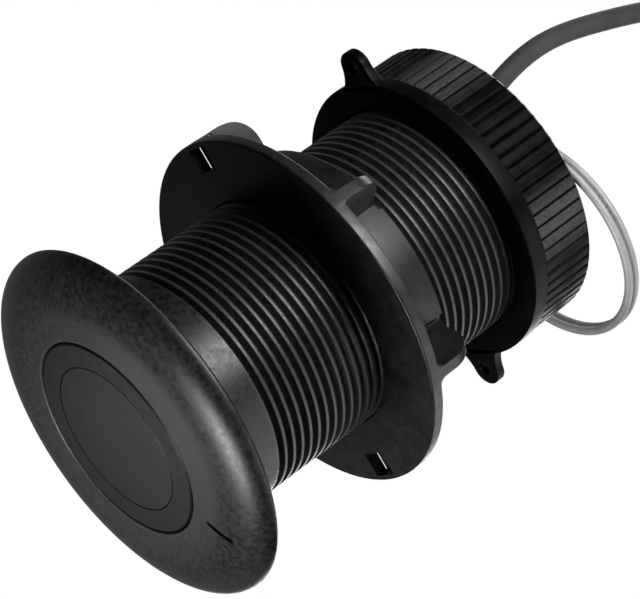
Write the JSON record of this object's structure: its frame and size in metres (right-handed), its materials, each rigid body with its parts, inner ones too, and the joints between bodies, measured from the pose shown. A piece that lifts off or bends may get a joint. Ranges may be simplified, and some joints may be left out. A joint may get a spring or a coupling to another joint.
{
  "type": "sonar transducer",
  "caption": "Retractable through-hull depth transducer: mushroom flange with flush sonar face, threaded barrel, hull nut, ribbed cap nut, pull ring and coiled cable with plug.",
  "frame": {"origin": "centre of the flat sonar face, on which the part stands", "axes": "+Z along the barrel from the sonar face to the cap nut, +X towards the side on which the cable comes down"},
  "size_m": [0.1975, 0.1021, 0.1942],
  "materials": {
    "housing_plastic": "satin moulded black",
    "nut_plastic": "satin moulded black",
    "insert_plastic": "smooth satin black",
    "window_urethane": "smooth satin",
    "seal_rubber": "black",
    "ceramic": "fired, silvered",
    "cork": "pressed grain",
    "lead_red": "insulated",
    "lead_blue": "insulated",
    "resin": "cast",
    "ring_steel": "bright wire",
    "cable_jacket": "satin jacket",
    "boot_rubber": "matt",
    "tie_strap": "woven",
    "plug_metal": "plated",
    "pin_brass": "gold plated"
  },
  "bodies": {
    "through_hull": {"housing": "housing_plastic", "insert_shell": "insert_plastic", "acoustic_window": "window_urethane", "lower_o_ring": "seal_rubber", "upper_o_ring": "seal_rubber", "piezo_disc": "ceramic", "cork_sleeve": "cork", "cork_pad": "cork", "lead_wire_a": "lead_red", "lead_wire_b": "lead_blue", "potting": "resin", "insert_cover": "insert_plastic", "cable_boot": "boot_rubber", "cable_run": "cable_jacket", "cable_coil": "cable_jacket", "cable_tail": "cable_jacket", "coil_tie": "tie_strap", "plug_body": "boot_rubber", "plug_shell": "plug_metal", "plug_carrier": "boot_rubber", "plug_pins": "pin_brass"},
    "clamp_nut": {"hull_nut": "nut_plastic"},
    "lock_nut": {"cap_nut": "nut_plastic"},
    "pull_loop": {"pull_ring": "ring_steel"}
  },
  "joints": [
    {"name": "hull_nut_turn", "type": "hinge", "parent": "through_hull", "child": "clamp_nut", "pos_m": [0, 0, 0.0528], "axis": [0, 0, 1], "continuous": true},
    {"name": "cap_nut_turn", "type": "hinge", "parent": "through_hull", "child": "lock_nut", "pos_m": [0, 0, 0.0913], "axis": [0, 0, 1], "continuous": true},
    {"name": "ring_swing", "type": "hinge", "parent": "through_hull", "child": "pull_loop", "pos_m": [-0.00348, 0.00127, 0.10205], "axis": [-0.342, -0.9397, 0], "range_deg": [0, 90]}
  ]
}
